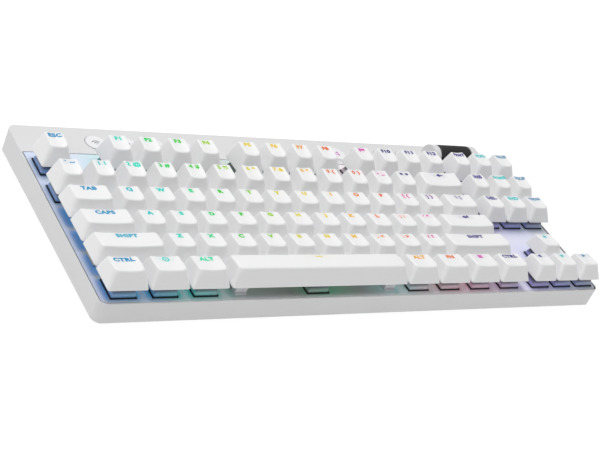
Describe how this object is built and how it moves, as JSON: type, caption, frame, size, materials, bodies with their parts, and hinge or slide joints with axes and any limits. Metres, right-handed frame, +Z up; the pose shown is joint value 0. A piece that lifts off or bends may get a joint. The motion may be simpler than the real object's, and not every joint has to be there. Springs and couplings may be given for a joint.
{
  "type": "mechanical keyboard",
  "caption": "Tenkeyless mechanical keyboard with sculpted keycaps on sprung switches, round control buttons, a volume roller and flip-out feet.",
  "frame": {"origin": "on the desk, under the middle of the case", "axes": "+X along the key rows to the right, +Y to the back edge, +Z up"},
  "size_m": [0.352, 0.1502, 0.034],
  "materials": {
    "case_white": "fine satin moulding",
    "case_base": "fine textured moulding",
    "plate_white": "satin white coat",
    "board_black": "solder mask",
    "battery_wrap": "foil wrap",
    "socket_steel": "plain",
    "switch_clear": "translucent",
    "spring_steel": "drawn wire",
    "light_lens": "clear lens",
    "stabilizer_clear": "translucent",
    "screw_steel": "blackened",
    "rubber_pad": "matt",
    "black_plastic": "satin",
    "foot_plastic": "fine satin moulding",
    "button_white": "fine satin moulding",
    "keycap_white": "fine satin moulding"
  },
  "bodies": {
    "case": {"top_case": "case_white", "bottom_case": "case_base", "switch_plate": "plate_white", "circuit_board": "board_black", "battery": "battery_wrap", "control_boards": "board_black", "charging_socket": "socket_steel", "switch_lower_housings": "switch_clear", "switch_upper_housings": "switch_clear", "switch_springs": "spring_steel", "key_lights": "light_lens", "stabilizer_housings": "stabilizer_clear", "stabilizer_wires": "spring_steel", "case_screws": "screw_steel", "rubber_feet": "rubber_pad", "volume_encoder": "black_plastic"},
    "left_tall_foot": {"left_tall_foot": "foot_plastic"},
    "left_short_foot": {"left_short_foot": "foot_plastic"},
    "right_short_foot": {"right_short_foot": "foot_plastic"},
    "right_tall_foot": {"right_tall_foot": "foot_plastic"},
    "volume_roller": {"volume_roller": "black_plastic"},
    "power_switch_slider": {"power_switch_slider": "black_plastic"},
    "button_wireless": {"button_wireless": "button_white"},
    "button_pairing": {"button_pairing": "button_white"},
    "button_game_mode": {"button_game_mode": "button_white"},
    "button_backlight": {"button_backlight": "button_white"},
    "button_previous_track": {"button_previous_track": "button_white"},
    "button_play_pause": {"button_play_pause": "button_white"},
    "button_next_track": {"button_next_track": "button_white"},
    "button_mute": {"button_mute": "button_white"},
    "key_escape": {"key_escape": "keycap_white"},
    "key_space_bar": {"key_space_bar": "keycap_white"},
    "key_enter": {"key_enter": "keycap_white"},
    "key_backspace": {"key_backspace": "keycap_white"},
    "key_left_shift": {"key_left_shift": "keycap_white"},
    "key_right_shift": {"key_right_shift": "keycap_white"},
    "key_tab": {"key_tab": "keycap_white"},
    "key_caps_lock": {"key_caps_lock": "keycap_white"},
    "key_backslash": {"key_backslash": "keycap_white"},
    "key_left_control": {"key_left_control": "keycap_white"},
    "key_arrow_up": {"key_arrow_up": "keycap_white"},
    "key_arrow_left": {"key_arrow_left": "keycap_white"},
    "key_arrow_down": {"key_arrow_down": "keycap_white"},
    "key_arrow_right": {"key_arrow_right": "keycap_white"},
    "keys_number_row": {"keys_number_row": "keycap_white"},
    "keys_upper_row": {"keys_upper_row": "keycap_white"},
    "keys_home_row": {"keys_home_row": "keycap_white"},
    "keys_lower_row": {"keys_lower_row": "keycap_white"},
    "keys_function_1_to_4": {"keys_function_1_to_4": "keycap_white"},
    "keys_function_5_to_8": {"keys_function_5_to_8": "keycap_white"},
    "keys_function_9_to_12": {"keys_function_9_to_12": "keycap_white"},
    "keys_print_to_pause": {"keys_print_to_pause": "keycap_white"},
    "keys_navigation_upper": {"keys_navigation_upper": "keycap_white"},
    "keys_navigation_lower": {"keys_navigation_lower": "keycap_white"},
    "key_left_system": {"key_left_system": "keycap_white"},
    "key_left_alt": {"key_left_alt": "keycap_white"},
    "key_right_alt": {"key_right_alt": "keycap_white"},
    "key_function": {"key_function": "keycap_white"},
    "key_menu": {"key_menu": "keycap_white"},
    "key_right_control": {"key_right_control": "keycap_white"}
  },
  "joints": [
    {"name": "left_tall_foot_hinge", "type": "hinge", "parent": "case", "child": "left_tall_foot", "pos_m": [-0.15, 0.0626, 0.00285], "axis": [1, 0, 0], "range_deg": [0, 95]},
    {"name": "left_short_foot_hinge", "type": "hinge", "parent": "case", "child": "left_short_foot", "pos_m": [-0.134, 0.0626, 0.00285], "axis": [1, 0, 0], "range_deg": [0, 95]},
    {"name": "right_short_foot_hinge", "type": "hinge", "parent": "case", "child": "right_short_foot", "pos_m": [0.134, 0.0626, 0.00285], "axis": [1, 0, 0], "range_deg": [0, 95]},
    {"name": "right_tall_foot_hinge", "type": "hinge", "parent": "case", "child": "right_tall_foot", "pos_m": [0.15, 0.0626, 0.00285], "axis": [1, 0, 0], "range_deg": [0, 95]},
    {"name": "volume_roller_spin", "type": "hinge", "parent": "case", "child": "volume_roller", "pos_m": [0.14117, 0.06097, 0.01723], "axis": [1, 0, 0], "continuous": true},
    {"name": "power_switch_slide", "type": "slide", "parent": "case", "child": "power_switch_slider", "axis": [1, 0, 0], "range_m": [0, 0.004]},
    {"name": "button_wireless_press", "type": "slide", "parent": "case", "child": "button_wireless", "axis": [0, 0.014, -0.9999], "range_m": [0, 0.0008], "stiffness_N_per_m": 1000, "springref_m": -0.0003},
    {"name": "button_pairing_press", "type": "slide", "parent": "case", "child": "button_pairing", "axis": [0, 0.014, -0.9999], "range_m": [0, 0.0008], "stiffness_N_per_m": 1000, "springref_m": -0.0003},
    {"name": "button_game_mode_press", "type": "slide", "parent": "case", "child": "button_game_mode", "axis": [0, 0.014, -0.9999], "range_m": [0, 0.0008], "stiffness_N_per_m": 1000, "springref_m": -0.0003},
    {"name": "button_backlight_press", "type": "slide", "parent": "case", "child": "button_backlight", "axis": [0, 0.014, -0.9999], "range_m": [0, 0.0008], "stiffness_N_per_m": 1000, "springref_m": -0.0003},
    {"name": "button_previous_track_press", "type": "slide", "parent": "case", "child": "button_previous_track", "axis": [0, 0.014, -0.9999], "range_m": [0, 0.0008], "stiffness_N_per_m": 1000, "springref_m": -0.0003},
    {"name": "button_play_pause_press", "type": "slide", "parent": "case", "child": "button_play_pause", "axis": [0, 0.014, -0.9999], "range_m": [0, 0.0008], "stiffness_N_per_m": 1000, "springref_m": -0.0003},
    {"name": "button_next_track_press", "type": "slide", "parent": "case", "child": "button_next_track", "axis": [0, 0.014, -0.9999], "range_m": [0, 0.0008], "stiffness_N_per_m": 1000, "springref_m": -0.0003},
    {"name": "button_mute_press", "type": "slide", "parent": "case", "child": "button_mute", "axis": [0, 0.014, -0.9999], "range_m": [0, 0.0008], "stiffness_N_per_m": 1000, "springref_m": -0.0003},
    {"name": "key_escape_press", "type": "slide", "parent": "case", "child": "key_escape", "axis": [0, 0.014, -0.9999], "range_m": [0, 0.004], "stiffness_N_per_m": 75, "springref_m": -0.0039, "deforming": ["switch_springs"]},
    {"name": "key_space_bar_press", "type": "slide", "parent": "case", "child": "key_space_bar", "axis": [0, 0.014, -0.9999], "range_m": [0, 0.004], "stiffness_N_per_m": 75, "springref_m": -0.0039, "deforming": ["switch_springs"]},
    {"name": "key_enter_press", "type": "slide", "parent": "case", "child": "key_enter", "axis": [0, 0.014, -0.9999], "range_m": [0, 0.004], "stiffness_N_per_m": 75, "springref_m": -0.0039, "deforming": ["switch_springs"]},
    {"name": "key_backspace_press", "type": "slide", "parent": "case", "child": "key_backspace", "axis": [0, 0.014, -0.9999], "range_m": [0, 0.004], "stiffness_N_per_m": 75, "springref_m": -0.0039, "deforming": ["switch_springs"]},
    {"name": "key_left_shift_press", "type": "slide", "parent": "case", "child": "key_left_shift", "axis": [0, 0.014, -0.9999], "range_m": [0, 0.004], "stiffness_N_per_m": 75, "springref_m": -0.0039, "deforming": ["switch_springs"]},
    {"name": "key_right_shift_press", "type": "slide", "parent": "case", "child": "key_right_shift", "axis": [0, 0.014, -0.9999], "range_m": [0, 0.004], "stiffness_N_per_m": 75, "springref_m": -0.0039, "deforming": ["switch_springs"]},
    {"name": "key_tab_press", "type": "slide", "parent": "case", "child": "key_tab", "axis": [0, 0.014, -0.9999], "range_m": [0, 0.004], "stiffness_N_per_m": 75, "springref_m": -0.0039, "deforming": ["switch_springs"]},
    {"name": "key_caps_lock_press", "type": "slide", "parent": "case", "child": "key_caps_lock", "axis": [0, 0.014, -0.9999], "range_m": [0, 0.004], "stiffness_N_per_m": 75, "springref_m": -0.0039, "deforming": ["switch_springs"]},
    {"name": "key_backslash_press", "type": "slide", "parent": "case", "child": "key_backslash", "axis": [0, 0.014, -0.9999], "range_m": [0, 0.004], "stiffness_N_per_m": 75, "springref_m": -0.0039, "deforming": ["switch_springs"]},
    {"name": "key_left_control_press", "type": "slide", "parent": "case", "child": "key_left_control", "axis": [0, 0.014, -0.9999], "range_m": [0, 0.004], "stiffness_N_per_m": 75, "springref_m": -0.0039, "deforming": ["switch_springs"]},
    {"name": "key_arrow_up_press", "type": "slide", "parent": "case", "child": "key_arrow_up", "axis": [0, 0.014, -0.9999], "range_m": [0, 0.004], "stiffness_N_per_m": 75, "springref_m": -0.0039, "deforming": ["switch_springs"]},
    {"name": "key_arrow_left_press", "type": "slide", "parent": "case", "child": "key_arrow_left", "axis": [0, 0.014, -0.9999], "range_m": [0, 0.004], "stiffness_N_per_m": 75, "springref_m": -0.0039, "deforming": ["switch_springs"]},
    {"name": "key_arrow_down_press", "type": "slide", "parent": "case", "child": "key_arrow_down", "axis": [0, 0.014, -0.9999], "range_m": [0, 0.004], "stiffness_N_per_m": 75, "springref_m": -0.0039, "deforming": ["switch_springs"]},
    {"name": "key_arrow_right_press", "type": "slide", "parent": "case", "child": "key_arrow_right", "axis": [0, 0.014, -0.9999], "range_m": [0, 0.004], "stiffness_N_per_m": 75, "springref_m": -0.0039, "deforming": ["switch_springs"]},
    {"name": "keys_number_row_press", "type": "slide", "parent": "case", "child": "keys_number_row", "axis": [0, 0.014, -0.9999], "range_m": [0, 0.004], "stiffness_N_per_m": 975, "springref_m": -0.0039, "deforming": ["switch_springs"]},
    {"name": "keys_upper_row_press", "type": "slide", "parent": "case", "child": "keys_upper_row", "axis": [0, 0.014, -0.9999], "range_m": [0, 0.004], "stiffness_N_per_m": 900, "springref_m": -0.0039, "deforming": ["switch_springs"]},
    {"name": "keys_home_row_press", "type": "slide", "parent": "case", "child": "keys_home_row", "axis": [0, 0.014, -0.9999], "range_m": [0, 0.004], "stiffness_N_per_m": 825, "springref_m": -0.0039, "deforming": ["switch_springs"]},
    {"name": "keys_lower_row_press", "type": "slide", "parent": "case", "child": "keys_lower_row", "axis": [0, 0.014, -0.9999], "range_m": [0, 0.004], "stiffness_N_per_m": 750, "springref_m": -0.0039, "deforming": ["switch_springs"]},
    {"name": "keys_function_1_to_4_press", "type": "slide", "parent": "case", "child": "keys_function_1_to_4", "axis": [0, 0.014, -0.9999], "range_m": [0, 0.004], "stiffness_N_per_m": 300, "springref_m": -0.0039, "deforming": ["switch_springs"]},
    {"name": "keys_function_5_to_8_press", "type": "slide", "parent": "case", "child": "keys_function_5_to_8", "axis": [0, 0.014, -0.9999], "range_m": [0, 0.004], "stiffness_N_per_m": 300, "springref_m": -0.0039, "deforming": ["switch_springs"]},
    {"name": "keys_function_9_to_12_press", "type": "slide", "parent": "case", "child": "keys_function_9_to_12", "axis": [0, 0.014, -0.9999], "range_m": [0, 0.004], "stiffness_N_per_m": 300, "springref_m": -0.0039, "deforming": ["switch_springs"]},
    {"name": "keys_print_to_pause_press", "type": "slide", "parent": "case", "child": "keys_print_to_pause", "axis": [0, 0.014, -0.9999], "range_m": [0, 0.004], "stiffness_N_per_m": 225, "springref_m": -0.0039, "deforming": ["switch_springs"]},
    {"name": "keys_navigation_upper_press", "type": "slide", "parent": "case", "child": "keys_navigation_upper", "axis": [0, 0.014, -0.9999], "range_m": [0, 0.004], "stiffness_N_per_m": 225, "springref_m": -0.0039, "deforming": ["switch_springs"]},
    {"name": "keys_navigation_lower_press", "type": "slide", "parent": "case", "child": "keys_navigation_lower", "axis": [0, 0.014, -0.9999], "range_m": [0, 0.004], "stiffness_N_per_m": 225, "springref_m": -0.0039, "deforming": ["switch_springs"]},
    {"name": "key_left_system_press", "type": "slide", "parent": "case", "child": "key_left_system", "axis": [0, 0.014, -0.9999], "range_m": [0, 0.004], "stiffness_N_per_m": 75, "springref_m": -0.0039, "deforming": ["switch_springs"]},
    {"name": "key_left_alt_press", "type": "slide", "parent": "case", "child": "key_left_alt", "axis": [0, 0.014, -0.9999], "range_m": [0, 0.004], "stiffness_N_per_m": 75, "springref_m": -0.0039, "deforming": ["switch_springs"]},
    {"name": "key_right_alt_press", "type": "slide", "parent": "case", "child": "key_right_alt", "axis": [0, 0.014, -0.9999], "range_m": [0, 0.004], "stiffness_N_per_m": 75, "springref_m": -0.0039, "deforming": ["switch_springs"]},
    {"name": "key_function_press", "type": "slide", "parent": "case", "child": "key_function", "axis": [0, 0.014, -0.9999], "range_m": [0, 0.004], "stiffness_N_per_m": 75, "springref_m": -0.0039, "deforming": ["switch_springs"]},
    {"name": "key_menu_press", "type": "slide", "parent": "case", "child": "key_menu", "axis": [0, 0.014, -0.9999], "range_m": [0, 0.004], "stiffness_N_per_m": 75, "springref_m": -0.0039, "deforming": ["switch_springs"]},
    {"name": "key_right_control_press", "type": "slide", "parent": "case", "child": "key_right_control", "axis": [0, 0.014, -0.9999], "range_m": [0, 0.004], "stiffness_N_per_m": 75, "springref_m": -0.0039, "deforming": ["switch_springs"]}
  ]
}
